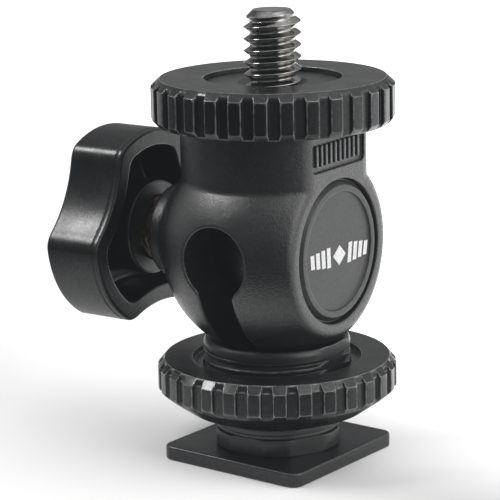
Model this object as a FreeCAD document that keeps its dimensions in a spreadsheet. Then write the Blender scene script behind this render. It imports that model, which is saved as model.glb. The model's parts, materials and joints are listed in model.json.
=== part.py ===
"""Mini swivel head: accessory-shoe foot, lockable ball joint and a screw stud.

Row frame, in millimetres: origin at the centre of the shoe plate's underside, +Z up along the
stem, +X towards the round cover cap, -Y towards the keyhole slot.
"""
import FreeCAD, Part
import math
import os
import re

import Sketcher

Vector = FreeCAD.Vector
Rotation = FreeCAD.Rotation

# ---------------------------------------------------------------------------------------------
# Driving sizes. Heights are above the plate's underside; a "reach" is a distance from the
# ball's centre along X, towards the cap or towards the knob.
# ---------------------------------------------------------------------------------------------
SIZES = {
    # shoe foot
    "plate_side": 18.5, "plate_thickness": 1.6, "plate_corner": 1.3, "plate_edge": 0.2,
    "plate_turn": -3.2, "post_radius": 5.0, "neck_base": 8.6, "neck_radius": 8.1,
    "neck_shoulder": 13.25, "rim_height": 13.65, "rim_radius": 7.7, "cup_radius": 12.77,
    "neck_flat": 7.5, "root_inside_plate": 1.0,
    # stem screw
    "stem_radius": 2.0, "stem_hole": 2.05, "stem_tip": 20.9, "head_radius": 3.5,
    "head_low": 0.2, "head_high": 2.35, "head_pocket": 3.65, "pocket_top": 3.0,
    "washer_radius": 3.6, "socket_corner": 1.6, "socket_depth": 1.3, "washer_slit": 0.5,
    # ball and housing
    "ball_height": 23.9, "ball_radius": 7.05, "ball_hole_top": 21.0, "dome_radius": 12.48,
    "shoulder_radius": 10.1, "housing_top": 37.3, "cavity_radius": 7.2, "side_flat": 8.3,
    "boss_radius": 5.3, "boss_reach": 13.45, "keyhole_radius": 3.85, "slot_width": 4.2,
    "slot_back": 2.3, "slot_back_low": 7.4, "cut_reach": 14.0,
    "panel_width": 10.2, "panel_low": 33.1, "panel_high": 36.5, "panel_depth": 0.35,
    "panel_corner": 0.6, "rib_width": 0.45, "rib_pitch": 0.9, "rib_rise": 0.25,
    "rib_inset": 0.55,
    # seat, spring and retainer behind the cap
    "seat_radius": 7.15, "seat_gap": 7.1, "seat_near": 2.6, "seat_far": 5.4, "seat_eye": 3.0,
    "spring_near": 5.45, "spring_far": 6.05, "spring_eye": 4.8, "retainer_near": 6.1,
    "retainer_far": 7.25, "retainer_eye": 3.8, "key_slot_width": 1.2, "key_slot_depth": 0.6,
    # cover cap
    "recess_radius": 7.86, "recess_reach": 7.3, "cap_flange_radius": 7.78,
    "cap_flange_reach": 7.65, "cap_shoulder_radius": 7.62, "cap_radius": 7.14,
    "cap_face_radius": 6.49, "cap_face_reach": 8.02, "cap_edge": 0.15,
    # brake shoe, bush and knob screw
    "shoe_radius": 5.0, "shoe_bore": 5.05, "shoe_front": 4.5, "shoe_back": 8.8,
    "bore_end": 10.2, "bush_radius": 4.2, "bush_hole": 4.25, "screw_radius": 3.0,
    "screw_hole": 3.05, "screw_tip": 8.85, "screw_end": 20.0, "screw_edge": 0.4,
    "collar_radius": 3.6, "collar_face": 15.5, "collar_end": 19.0, "collar_bore": 3.02,
    # clamp knob
    "knob_radius": 11.2, "knob_near": 16.05, "knob_far": 23.2, "knob_web": 1.7,
    "knob_cavity_radius": 9.3, "scallop_distance": 22.7, "scallop_radius": 13.9,
    "scallop_wall": 1.9, "lobe_turn": -2.4, "hub_radius": 5.35, "hub_near": 16.0,
    "hub_hole": 3.65, "hub_hole_end": 20.4,
    # mounting stud, 1/4 inch
    "stud_radius": 3.1, "stud_relief": 2.55, "stud_thread_low": 41.9, "stud_tip": 49.43,
    "stud_tip_radius": 2.05, "stud_chamfer_low": 48.4, "stud_hole": 3.15, "hex_low": 31.4,
    "hex_high": 34.2, "hex_corner": 5.2, "hex_pocket_corner": 5.26, "hex_pocket_low": 30.0,
    # top lock wheel and its bush
    "top_low": 37.35, "top_high": 42.25, "top_radius": 13.12, "top_under_radius": 12.55,
    "top_face_radius": 12.2, "top_edge_low": 38.0, "top_edge_high": 41.45, "top_hole": 5.55,
    "top_step_radius": 7.43, "top_step": 40.85, "top_grip_turn": 4.0, "insert_low": 37.45,
    "insert_radius": 5.5, "insert_flange_low": 40.9, "insert_flange_radius": 7.38,
    "insert_high": 41.65, "insert_eye": 3.82, "insert_eye_low": 41.0,
    # lower lock wheel, nut and washers
    "low_radius": 13.17, "low_hub_low": 4.75, "low_hub_radius": 6.9, "low_flange_low": 5.65,
    "low_flange_radius": 9.9, "low_bevel_high": 7.35, "low_bevel_radius": 12.3,
    "low_edge_low": 8.1, "low_edge_high": 10.5, "low_high": 11.33, "low_face_radius": 12.4,
    "low_step_radius": 9.26, "low_step": 10.65, "low_bore": 8.17, "low_floor": 6.3,
    "low_eye": 6.02, "low_grip_turn": -1.3, "nut_low": 1.65, "nut_high": 3.5,
    "nut_flat": 6.75, "nut_corner": 7.1, "nut_sleeve": 6.0, "nut_bore": 5.06,
    "nut_turn": -28.0, "nut_edge": 0.25,
    "ring_eye": 6.06, "slip_low": 3.55, "slip_high": 4.0, "slip_radius": 6.85,
    "spring_low": 4.07, "spring_high": 4.7, "spring_radius": 7.15,
    # grip grooves of both wheels
    "groove_width": 1.25, "groove_depth": 0.45, "groove_count": 30,
}

doc = FreeCAD.newDocument("swivel_head")
sheet = doc.addObject("Spreadsheet::Sheet", "Sizes")
for row, (alias, number) in enumerate(SIZES.items(), start=1):
    sheet.set("A%d" % row, alias)
    sheet.set("B%d" % row, str(number))
    sheet.setAlias("B%d" % row, alias)
doc.recompute()

NODES = []                       # (node name, object) of every finished piece
UP = Rotation()
TO_CAP = Rotation(Vector(0, 1, 0), 90)       # local +Z lies along +X
TO_KNOB = Rotation(Vector(0, 1, 0), -90)     # local +Z lies along -X
TO_FRONT = Rotation(Vector(1, 0, 0), 90)     # local +Z lies along -Y


# ---------------------------------------------------------------------------------------------
# Helpers
# ---------------------------------------------------------------------------------------------
def value(formula):
    """Work out a sum of named sizes, such as "ball_height - cup_radius"."""
    total = 0.0
    for sign, term in re.findall(r"([+-]?)\s*([a-z_]+|[0-9.]+)", formula):
        amount = SIZES[term] if term in SIZES else float(term)
        total += -amount if sign == "-" else amount
    return total


def link(formula):
    """The same sum as an expression that reads the spreadsheet."""
    return re.sub(r"[a-z_]{4,}", lambda word: "Sizes." + word.group(0), formula)


def bind(thing, **formulas):
    """Bind properties of an object to sums of sizes in the sheet."""
    for name, formula in formulas.items():
        thing.setExpression(name, link(formula))
    return thing


def place(thing, turn=UP, x="0", y="0", z="0"):
    """Give an object its rotation, and bind its position to the sheet."""
    position = Vector(value(x), value(y), value(z))
    thing.Placement = FreeCAD.Placement(position, turn)
    for axis, formula in (("x", x), ("y", y), ("z", z)):
        if formula != "0":
            thing.setExpression("Placement.Base." + axis, link(formula))
    return thing


def finish(thing, node):
    """Label a finished piece with its node's name."""
    thing.Label = node
    NODES.append((node, thing))
    return thing


def cylinder(name, radius, low, high):
    """A cylinder along the vertical axis, from one height to another."""
    thing = bind(doc.addObject("Part::Cylinder", name), Radius=radius)
    thing.setExpression("Height", link(high) + " - (" + link(low) + ")")
    return place(thing, z=low)


def cylinder_along(name, turn, radius, near, far):
    """A cylinder through the ball's centre line, between two reaches along the turned axis."""
    thing = bind(doc.addObject("Part::Cylinder", name), Radius=radius)
    thing.setExpression("Height", link(far) + " - (" + link(near) + ")")
    along = turn.multVec(Vector(0, 0, 1))
    position = Vector(0, 0, value("ball_height")) + along * value(near)
    thing.Placement = FreeCAD.Placement(position, turn)
    thing.setExpression("Placement.Base.x", "%g * (%s)" % (along.x, link(near)))
    thing.setExpression("Placement.Base.y", "%g * (%s)" % (along.y, link(near)))
    thing.setExpression("Placement.Base.z", link("ball_height"))
    return thing


def ball(name, radius):
    """A sphere at the ball's centre."""
    return place(bind(doc.addObject("Part::Sphere", name), Radius=radius), z="ball_height")


def block(name, length, width, height, x="0", y="0", z="0", turn=UP):
    thing = bind(doc.addObject("Part::Box", name), Length=length, Width=width, Height=height)
    return place(thing, turn, x, y, z)


def hex_prism(name, corner, low, high, turn=UP):
    """A six-sided prism along the vertical axis."""
    thing = bind(doc.addObject("Part::Prism", name), Circumradius=corner)
    thing.Polygon = 6
    thing.setExpression("Height", link(high) + " - (" + link(low) + ")")
    return place(thing, turn, z=low)


def cut(name, base, *tools):
    """The base with every tool taken out of it."""
    for number, tool in enumerate(tools):
        step = doc.addObject("Part::Cut", "%s_cut_%d" % (name, number))
        step.Base = base
        step.Tool = tool
        base = step
    return base


def fuse(name, *shapes):
    """All shapes joined into one."""
    joined = doc.addObject("Part::MultiFuse", name)
    joined.Shapes = list(shapes)
    joined.Refine = True
    return joined


def origin_plane(body, role):
    return [plane for plane in body.Origin.OriginFeatures if plane.Role == role][0]


def outline(body, name, role, corners):
    """A closed outline of straight runs whose corners are bound to the sheet."""
    sketch = body.newObject("Sketcher::SketchObject", name)
    sketch.AttachmentSupport = [(origin_plane(body, role), "")]
    sketch.MapMode = "FlatFace"
    points = [Vector(value(first), value(second), 0) for first, second in corners]
    count = len(points)
    for index in range(count):
        sketch.addGeometry(Part.LineSegment(points[index], points[(index + 1) % count]))
    for index in range(count):
        after = (index + 1) % count
        sketch.addConstraint(Sketcher.Constraint("Coincident", index, 2, after, 1))
    for index, corner in enumerate(corners):
        for kind, axis, formula in (("DistanceX", -2, corner[0]), ("DistanceY", -1, corner[1])):
            if formula == "0":
                sketch.addConstraint(Sketcher.Constraint("PointOnObject", index, 1, axis))
            else:
                size = Sketcher.Constraint(kind, -1, 1, index, 1, value(formula))
                number = sketch.addConstraint(size)
                sketch.setExpression("Constraints[%d]" % number, link(formula))
    return sketch


def turned(name, corners, turn=UP, height="0"):
    """A turned piece: an outline of (radius, length) corners spun about its own +Z axis."""
    body = doc.addObject("PartDesign::Body", name)
    sketch = outline(body, name + "_outline", "XZ_Plane", corners)
    spin = body.newObject("PartDesign::Revolution", name + "_spin")
    spin.Profile = sketch
    spin.ReferenceAxis = (sketch, ["V_Axis"])
    spin.Angle = 360
    sketch.Visibility = False
    return place(body, turn, z=height)


def grip_grooves(body, name, radius):
    """Cut the grip grooves round a wheel's rim, right through its height."""
    inner = radius + " - groove_depth"
    outer = radius + " + groove_depth"
    half = value("groove_width") / 2
    sketch = body.newObject("Sketcher::SketchObject", name + "_groove_outline")
    sketch.AttachmentSupport = [(origin_plane(body, "XY_Plane"), "")]
    sketch.MapMode = "FlatFace"
    near, far = value(inner), value(outer)
    points = [Vector(near, -half, 0), Vector(far, -half, 0), Vector(far, half, 0),
              Vector(near, half, 0)]
    for index in range(4):
        sketch.addGeometry(Part.LineSegment(points[index], points[(index + 1) % 4]))
    for index in range(4):
        after = (index + 1) % 4
        sketch.addConstraint(Sketcher.Constraint("Coincident", index, 2, after, 1))
    for index, kind in enumerate(("Horizontal", "Vertical", "Horizontal")):
        sketch.addConstraint(Sketcher.Constraint(kind, index))
    sketch.addConstraint(Sketcher.Constraint("Symmetric", 0, 1, 2, 2, -1))
    width = sketch.addConstraint(Sketcher.Constraint("DistanceY", 1, 1, 1, 2, 2 * half))
    floor = sketch.addConstraint(Sketcher.Constraint("DistanceX", -1, 1, 0, 1, near))
    mouth = sketch.addConstraint(Sketcher.Constraint("DistanceX", -1, 1, 0, 2, far))
    sketch.setExpression("Constraints[%d]" % width, link("groove_width"))
    sketch.setExpression("Constraints[%d]" % floor, link(inner))
    sketch.setExpression("Constraints[%d]" % mouth, link(outer))
    groove = body.newObject("PartDesign::Pocket", name + "_groove")
    groove.Profile = sketch
    groove.Midplane = True
    groove.Type = "ThroughAll"
    ring = body.newObject("PartDesign::PolarPattern", name + "_grooves")
    ring.Originals = [groove]
    ring.Axis = (sketch, ["N_Axis"])
    ring.Angle = 360
    ring.setExpression("Occurrences", link("groove_count"))
    sketch.Visibility = False
    body.Tip = ring
    return body


# ---------------------------------------------------------------------------------------------
# Shoe foot: plate, post and neck in one moulding, with the stem screw that holds the ball
# ---------------------------------------------------------------------------------------------
def make_shoe_foot():
    plate_body = doc.addObject("PartDesign::Body", "plate")
    square = outline(plate_body, "plate_outline", "XY_Plane", [
        ("plate_side", "plate_side"), ("0", "plate_side"), ("0", "0"), ("plate_side", "0")])
    slab = plate_body.newObject("PartDesign::Pad", "plate_pad")
    slab.Profile = square
    slab.setExpression("Length", link("plate_thickness"))
    doc.recompute()
    upright = [
        "Edge%d" % number for number, edge in enumerate(slab.Shape.Edges, start=1)
        if abs(edge.tangentAt(edge.FirstParameter).z) > 0.9]
    rounding = plate_body.newObject("PartDesign::Fillet", "plate_corners")
    rounding.Base = (slab, upright)
    rounding.setExpression("Radius", link("plate_corner"))
    doc.recompute()
    flat_faces = [
        "Face%d" % number for number, face in enumerate(rounding.Shape.Faces, start=1)
        if abs(face.normalAt(0, 0).z) > 0.9]
    edges = plate_body.newObject("PartDesign::Chamfer", "plate_edges")
    edges.Base = (rounding, flat_faces)
    edges.setExpression("Size", link("plate_edge"))
    plate_body.Tip = edges
    turn = Rotation(Vector(0, 0, 1), value("plate_turn"))
    half = value("plate_side") / 2
    plate_body.Placement = FreeCAD.Placement(turn.multVec(Vector(-half, -half, 0)), turn)

    neck = turned("neck", [
        ("0", "root_inside_plate"), ("post_radius", "root_inside_plate"),
        ("post_radius", "neck_base"), ("neck_radius", "neck_base"),
        ("neck_radius", "neck_shoulder"), ("rim_radius", "rim_height"), ("0", "rim_height")])
    flats = [
        block("neck_flat_%d" % side, "neck_flat", "4 + plate_side", "rim_height",
              x="neck_flat" if side > 0 else "0 - neck_flat - neck_flat",
              y="0 - plate_side", z="neck_base")
        for side in (-1, 1)]
    solid = fuse("foot_blank", plate_body, cut("neck_flats", neck, *flats))
    foot = cut("shoe_foot", solid,
               ball("cup_hollow", "cup_radius"),
               cylinder("head_pocket", "head_pocket", "0 - plate_edge", "pocket_top"),
               cylinder("stem_hole", "stem_hole", "0 - plate_edge", "rim_height"))
    finish(foot, "shoe_foot")


def make_stem():
    screw = turned("stem", [
        ("0", "head_low"), ("head_radius", "head_low"), ("head_radius", "head_high"),
        ("stem_radius", "head_high"), ("stem_radius", "stem_tip"), ("0", "stem_tip")])
    socket = hex_prism("stem_socket", "socket_corner", "head_low - plate_edge",
                       "head_low + socket_depth")
    finish(cut("stem_screw", screw, socket), "stem_screw")
    ring = turned("stem_ring", [
        ("stem_hole", "head_high"), ("washer_radius", "head_high"),
        ("washer_radius", "pocket_top"), ("stem_hole", "pocket_top")])
    slit = block("stem_ring_slit", "washer_radius + stem_hole", "washer_slit", "pocket_top",
                 z="head_high - plate_edge")
    finish(cut("stem_washer", ring, slit), "stem_washer")


def make_ball():
    drilled = cut("ball", ball("ball_blank", "ball_radius"),
                  cylinder("ball_hole", "stem_hole", "neck_base", "ball_hole_top"))
    finish(drilled, "ball")


# ---------------------------------------------------------------------------------------------
# Housing and what is fixed in it
# ---------------------------------------------------------------------------------------------
def slot_cutter():
    """The slot's plan in the YZ plane: a quarter to the front and a wedge to the back."""
    body = doc.addObject("PartDesign::Body", "slot")
    sketch = outline(body, "slot_outline", "YZ_Plane", [
        ("0 - cut_reach", "0 - cut_reach"), ("slot_back_low", "0 - cut_reach"),
        ("slot_back", "0"), ("0 - cut_reach", "0")])
    pad = body.newObject("PartDesign::Pad", "slot_pad")
    pad.Profile = sketch
    pad.Midplane = True
    pad.setExpression("Length", link("slot_width"))
    return place(body, z="ball_height")


def label_panel():
    """A shallow rounded recess in the side flat, with a row of plain upright ribs left in it."""
    depth = "panel_depth + panel_depth"
    blank = block("panel_blank", depth, "panel_width", "panel_high - panel_low",
                  x="side_flat - panel_depth", z="panel_low")
    blank.setExpression("Placement.Base.y", "-Sizes.panel_width / 2")
    doc.recompute()
    rounded = doc.addObject("Part::Fillet", "panel")
    rounded.Base = blank
    corner = value("panel_corner")
    rounded.Edges = [
        (number, corner, corner) for number, edge in enumerate(blank.Shape.Edges, start=1)
        if abs(edge.tangentAt(edge.FirstParameter).x) > 0.9]
    count = int((value("panel_width") - 2 * value("rib_inset")) / value("rib_pitch"))
    ribs = []
    for number in range(count):
        rib = block("panel_rib_%d" % number, "rib_rise + rib_rise", "rib_width",
                    "panel_high - panel_low - rib_inset - rib_inset",
                    x="side_flat - panel_depth - rib_rise", z="panel_low + rib_inset")
        step = number - (count - 1) / 2
        rib.setExpression("Placement.Base.y",
                          "%g * Sizes.rib_pitch - Sizes.rib_width / 2" % step)
        ribs.append(rib)
    return cut("panel_tool", rounded, *ribs)


def make_housing():
    dome = ball("dome", "dome_radius")
    neck = cylinder("shoulder", "shoulder_radius", "ball_height", "housing_top")
    boss = cylinder_along("boss", TO_KNOB, "boss_radius", "seat_near", "boss_reach")
    side = block("side_cut", "cut_reach", "cut_reach + cut_reach", "housing_top",
                 x="side_flat", y="0 - cut_reach", z="neck_base")
    blank = cut("housing_blank", fuse("housing_outside", dome, neck, boss), side)
    tools = [
        ball("cavity", "cavity_radius"),
        cylinder_along("cap_bore", TO_CAP, "cavity_radius", "0", "side_flat + panel_depth"),
        cylinder_along("cap_recess", TO_CAP, "recess_radius", "recess_reach",
                       "side_flat + panel_depth"),
        cylinder_along("shoe_bore", TO_KNOB, "shoe_bore", "0", "bore_end"),
        cylinder_along("bush_bore", TO_KNOB, "bush_hole", "shoe_back", "boss_reach + 1"),
        cylinder_along("keyhole", TO_FRONT, "keyhole_radius", "0", "cut_reach"),
        slot_cutter(),
        hex_prism("stud_pocket", "hex_pocket_corner", "hex_pocket_low", "hex_high"),
        cylinder("stud_bore", "stud_hole", "hex_low", "housing_top + 1"),
        label_panel(),
    ]
    finish(cut("housing", blank, *tools), "housing")


def make_seat_parts():
    """Bearing cup, spring washer and threaded ring in the bore behind the cap."""
    seat = turned("seat_blank", [
        ("seat_eye", "seat_near"), ("seat_radius", "seat_near"), ("seat_radius", "seat_far"),
        ("seat_eye", "seat_far")], TO_CAP, "ball_height")
    finish(cut("ball_seat", seat, ball("seat_hollow", "seat_gap")), "ball_seat")
    spring = turned("seat_spring", [
        ("spring_eye", "spring_near"), ("seat_radius", "spring_near"),
        ("seat_radius", "spring_far"), ("spring_eye", "spring_far")], TO_CAP, "ball_height")
    finish(spring, "seat_spring")
    ring = turned("retainer_blank", [
        ("retainer_eye", "retainer_near"), ("seat_radius", "retainer_near"),
        ("seat_radius", "retainer_far"), ("retainer_eye", "retainer_far")],
        TO_CAP, "ball_height")
    key_slot = block("key_slot", "key_slot_depth + key_slot_depth",
                     "seat_radius + seat_radius + key_slot_width + key_slot_width",
                     "key_slot_width", x="retainer_far - key_slot_depth",
                     y="0 - seat_radius - key_slot_width")
    key_slot.setExpression("Placement.Base.z", "Sizes.ball_height - Sizes.key_slot_width / 2")
    finish(cut("seat_retainer", ring, key_slot), "seat_retainer")


def make_cover_cap():
    cap = turned("cover_cap", [
        ("0", "recess_reach"), ("cap_flange_radius", "recess_reach"),
        ("cap_flange_radius", "cap_flange_reach"), ("cap_shoulder_radius", "cap_flange_reach"),
        ("cap_radius", "side_flat - cap_edge"), ("cap_radius - cap_edge", "side_flat"),
        ("cap_face_radius + cap_edge", "side_flat"), ("cap_face_radius", "cap_face_reach"),
        ("0", "cap_face_reach")], TO_CAP, "ball_height")
    finish(cap, "cover_cap")


def make_bush():
    bush = turned("threaded_bush", [
        ("screw_hole", "bore_end"), ("bush_radius", "bore_end"), ("bush_radius", "boss_reach"),
        ("screw_hole", "boss_reach")], TO_KNOB, "ball_height")
    finish(bush, "threaded_bush")


def make_stud():
    shank = turned("stud_shank", [
        ("0", "hex_low"), ("stud_relief", "hex_low"), ("stud_relief", "stud_thread_low"),
        ("stud_radius", "stud_thread_low"), ("stud_radius", "stud_chamfer_low"),
        ("stud_tip_radius", "stud_tip"), ("0", "stud_tip")])
    head = hex_prism("stud_head", "hex_corner", "hex_low", "hex_high")
    finish(fuse("mounting_stud", shank, head), "mounting_stud")


# ---------------------------------------------------------------------------------------------
# Clamp: brake shoe, screw and knob
# ---------------------------------------------------------------------------------------------
def make_brake_shoe():
    blank = cylinder_along("shoe_blank", TO_KNOB, "shoe_radius", "shoe_front", "shoe_back")
    finish(cut("brake_shoe", blank, ball("shoe_hollow", "seat_gap")), "brake_shoe")


def make_knob_screw():
    screw = turned("knob_screw", [
        ("0", "screw_tip"), ("screw_radius - screw_edge", "screw_tip"),
        ("screw_radius", "screw_tip + screw_edge"), ("screw_radius", "screw_end"),
        ("0", "screw_end")], TO_KNOB, "ball_height")
    finish(screw, "knob_screw")
    collar = turned("knob_collar", [
        ("collar_bore", "collar_face"), ("collar_radius", "collar_face"),
        ("collar_radius", "collar_end"), ("collar_bore", "collar_end")],
        TO_KNOB, "ball_height")
    finish(collar, "knob_collar")


def scallops(name, radius):
    """Three round cutters between the knob's lobes."""
    tools = []
    for number in range(3):
        tool = cylinder_along("%s_%d" % (name, number), TO_KNOB, radius, "0", "knob_far + 1")
        angle = math.radians(value("lobe_turn") + 60 + 120 * number)
        side = TO_KNOB.multVec(Vector(math.cos(angle), math.sin(angle), 0))
        tool.setExpression("Placement.Base.y", "%.6f * Sizes.scallop_distance" % side.y)
        tool.setExpression("Placement.Base.z",
                           "Sizes.ball_height + %.6f * Sizes.scallop_distance" % side.z)
        tools.append(tool)
    return tools


def make_clamp_knob():
    outer = cylinder_along("knob_round", TO_KNOB, "knob_radius", "knob_near", "knob_far")
    inner = cylinder_along("knob_hollow", TO_KNOB, "knob_cavity_radius", "boss_reach",
                           "knob_far - knob_web")
    lobed = cut("knob_outside", outer, *scallops("scallop", "scallop_radius"))
    hollow = cut("knob_inside", inner, *scallops("wall", "scallop_radius + scallop_wall"))
    hub = cylinder_along("knob_hub", TO_KNOB, "hub_radius", "hub_near",
                         "knob_far - scallop_wall / 2")
    solid = fuse("knob_solid", cut("knob_shell", lobed, hollow), hub)
    hole = cylinder_along("knob_hole", TO_KNOB, "hub_hole", "boss_reach", "hub_hole_end")
    finish(cut("clamp_knob", solid, hole), "clamp_knob")


# ---------------------------------------------------------------------------------------------
# Lock wheels
# ---------------------------------------------------------------------------------------------
def grip_turn(size):
    """The rotation about the vertical axis that a wheel's grip grooves start from."""
    return Rotation(Vector(0, 0, 1), value(size))


def make_top_wheel():
    wheel = turned("top_lock_wheel", [
        ("top_hole", "top_low"), ("top_under_radius", "top_low"), ("top_radius", "top_edge_low"),
        ("top_radius", "top_edge_high"), ("top_face_radius", "top_high"),
        ("top_step_radius", "top_high"), ("top_step_radius", "top_step"),
        ("top_hole", "top_step")], grip_turn("top_grip_turn"))
    finish(grip_grooves(wheel, "top", "top_radius"), "top_lock_wheel")
    bush = turned("top_wheel_bush", [
        ("stud_hole", "insert_low"), ("insert_radius", "insert_low"),
        ("insert_radius", "insert_flange_low"), ("insert_flange_radius", "insert_flange_low"),
        ("insert_flange_radius", "insert_high"), ("insert_eye", "insert_high"),
        ("stud_hole", "insert_eye_low")])
    finish(bush, "top_wheel_bush")


def make_lower_wheel():
    wheel = turned("lower_lock_wheel", [
        ("low_eye", "low_hub_low"), ("low_hub_radius", "low_hub_low"),
        ("low_hub_radius", "low_flange_low"), ("low_flange_radius", "low_flange_low"),
        ("low_bevel_radius", "low_bevel_high"), ("low_radius", "low_edge_low"),
        ("low_radius", "low_edge_high"), ("low_face_radius", "low_high"),
        ("low_step_radius", "low_high"), ("low_step_radius", "low_step"),
        ("low_bore", "low_step"), ("low_bore", "low_floor"), ("low_eye", "low_floor")],
        grip_turn("low_grip_turn"))
    finish(grip_grooves(wheel, "low", "low_radius"), "lower_lock_wheel")


def make_clamp_nut():
    """Six-sided collar with turned-down corners, and the sleeve that holds it in the wheel."""
    turn = Rotation(Vector(0, 0, 1), value("nut_turn") - 30)
    prism = hex_prism("nut_prism", "nut_flat", "nut_low", "nut_high", turn)
    prism.setExpression("Circumradius", "Sizes.nut_flat / cos(30)")
    round_corners = cylinder("nut_round", "nut_corner", "nut_low", "nut_high")
    corners = doc.addObject("Part::Common", "nut_common")
    corners.Base = prism
    corners.Tool = round_corners
    sleeve = cylinder("nut_sleeve", "nut_sleeve", "nut_low + nut_edge", "low_floor")
    bore = cylinder("nut_bore", "nut_bore", "nut_low - 1", "low_floor + 1")
    finish(cut("clamp_nut", fuse("nut_blank", corners, sleeve), bore), "clamp_nut")


def make_washers():
    slip = turned("slip_washer", [
        ("ring_eye", "slip_low"), ("slip_radius", "slip_low"), ("slip_radius", "slip_high"),
        ("ring_eye", "slip_high")])
    finish(slip, "slip_washer")
    spring = turned("spring_washer", [
        ("ring_eye", "spring_low"), ("spring_radius", "spring_low"),
        ("spring_radius", "spring_high"), ("ring_eye", "spring_high")])
    finish(spring, "spring_washer")


# ---------------------------------------------------------------------------------------------
# Build, check and export
# ---------------------------------------------------------------------------------------------
make_shoe_foot()
make_stem()
make_ball()
make_housing()
make_seat_parts()
make_cover_cap()
make_bush()
make_stud()
make_brake_shoe()
make_knob_screw()
make_clamp_knob()
make_top_wheel()
make_lower_wheel()
make_clamp_nut()
make_washers()
doc.recompute()

for thing in doc.Objects:
    if "Invalid" in thing.State or "Error" in thing.State:
        raise RuntimeError("%s failed: %s" % (thing.Name, thing.State))

os.makedirs("parts", exist_ok=True)
for node, thing in NODES:
    shape = thing.Shape
    if shape.isNull() or not shape.isValid() or len(shape.Solids) != 1:
        raise RuntimeError("%s has no single valid solid" % node)
    box = shape.BoundBox
    print("%-18s volume %9.2f  x %6.2f %6.2f  y %6.2f %6.2f  z %6.2f %6.2f" % (
        node, shape.Volume, box.XMin, box.XMax, box.YMin, box.YMax, box.ZMin, box.ZMax))
    shape.exportStep(os.path.join("parts", node + ".step"))
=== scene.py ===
"""Looks of the small swivel head: detailed meshes, materials, light and camera on the CAD frame."""

import json
import math

import bmesh
import bpy
import numpy as np
from mathutils import Matrix, Vector


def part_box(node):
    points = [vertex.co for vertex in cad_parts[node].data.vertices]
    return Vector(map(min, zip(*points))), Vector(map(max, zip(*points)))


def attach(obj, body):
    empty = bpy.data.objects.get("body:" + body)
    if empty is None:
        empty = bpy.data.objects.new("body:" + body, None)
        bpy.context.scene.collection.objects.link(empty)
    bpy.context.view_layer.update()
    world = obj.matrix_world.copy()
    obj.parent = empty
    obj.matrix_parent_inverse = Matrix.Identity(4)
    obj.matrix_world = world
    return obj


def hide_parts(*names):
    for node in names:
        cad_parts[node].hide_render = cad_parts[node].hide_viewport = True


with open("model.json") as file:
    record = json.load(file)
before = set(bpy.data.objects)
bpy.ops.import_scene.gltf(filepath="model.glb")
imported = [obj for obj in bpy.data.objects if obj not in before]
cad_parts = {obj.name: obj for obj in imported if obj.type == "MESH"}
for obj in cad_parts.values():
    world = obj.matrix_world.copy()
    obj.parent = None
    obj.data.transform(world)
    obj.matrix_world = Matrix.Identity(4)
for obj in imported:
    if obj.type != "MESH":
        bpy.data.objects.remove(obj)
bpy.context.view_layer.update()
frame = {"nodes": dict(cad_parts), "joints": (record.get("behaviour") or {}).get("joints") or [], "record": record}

MM = 0.001                       # lengths below are millimetres; meshes are made in metres
FULL_TURN = 2 * math.pi


# ---------------------------------------------------------------------------------------------
# Sizes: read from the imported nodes, with the small details that the CAD leaves plain named here
# ---------------------------------------------------------------------------------------------
class Extent:
    """Lowest and highest corner of a CAD node, in millimetres."""

    def __init__(self, node):
        low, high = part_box(node)
        self.low = [value / MM for value in low]
        self.high = [value / MM for value in high]


BALL_Z = [joint["pos_m"][2] / MM for joint in frame["joints"] if joint["name"] == "tilt"][0]

housing = Extent("housing")
HOUSING_TOP = housing.high[2]
SIDE_FLAT = housing.high[0]
BOSS_END = -housing.low[0]
DOME_RADIUS = housing.high[1]
NECK_RADIUS = 10.1
BOSS_RADIUS = 5.3
CAVITY_RADIUS = 7.2
CAP_RECESS_RADIUS = 7.86
CAP_RECESS_FLOOR = 7.3
BUSH_BORE_RADIUS = 5.05
BUSH_BORE_END = 10.2
BRAKE_BORE_RADIUS = 4.25
STUD_BORE_RADIUS = 3.15
STUD_POCKET_LOW = 27
STUD_POCKET_TOP = 34.2
STUD_POCKET_FLAT = 4.56
KEYHOLE_RADIUS = 3.85
SLOT_HALF = 2.1
SLOT_BACK = 2.3                  # the slot's back wall leans away from here
SLOT_LEAN = 0.364
PANEL_LOW = 33.1
PANEL_HIGH = 36.5
PANEL_HALF = 5.1
PANEL_DEPTH = 0.35
PANEL_CORNER = 0.6

foot = Extent("shoe_foot")
FOOT_TOP = foot.high[2]
CUP_RADIUS = 12.77
FOOT_NECK_RADIUS = 8.1
FOOT_NECK_LOW = 8.6
FOOT_NECK_FLAT = 7.5
FOOT_SHOULDER = 13.3             # the neck slopes in at 45 degrees above this
FOOT_THREAD_TOP = 12.55
FOOT_PITCH = 0.92
FOOT_RIDGE = 0.42
FOOT_CREST = 12.3                # height of a ridge's crest on the -Y side
FOOT_SCREW_BORE = 2.05
FOOT_RECESS_RADIUS = 3.65
FOOT_RECESS_TOP = 3.0
POST_RADIUS = 5.0
POST_LOW = 0.8
POST_HIGH = 9.5
PLATE_SIDE = 18.5
PLATE_THICKNESS = 1.6
PLATE_CORNER = 1.3
PLATE_TURN = math.radians(-3.2)

knob = Extent("clamp_knob")
KNOB_RADIUS = 11.2
KNOB_FAR = -knob.low[0]
KNOB_NEAR = 16.05
KNOB_HUB_NEAR = -knob.high[0]
KNOB_HUB_RADIUS = 5.35
KNOB_WALL = 1.9
KNOB_END_WALL = 1.7
KNOB_BORE_RADIUS = 3.65
KNOB_BORE_END = 20.4
KNOB_SEAM = 0.75                 # the mould's parting line, this far back from the open edge
KNOB_SEAM_HALF = 0.16
KNOB_SEAM_DEPTH = 0.12
LOBE_ROUND = 0.9
SCALLOP_DISTANCE = 22.7
SCALLOP_RADIUS = 13.9
SCALLOP_ANGLES = [math.radians(32.4 + 120 * number) for number in range(3)]


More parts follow.
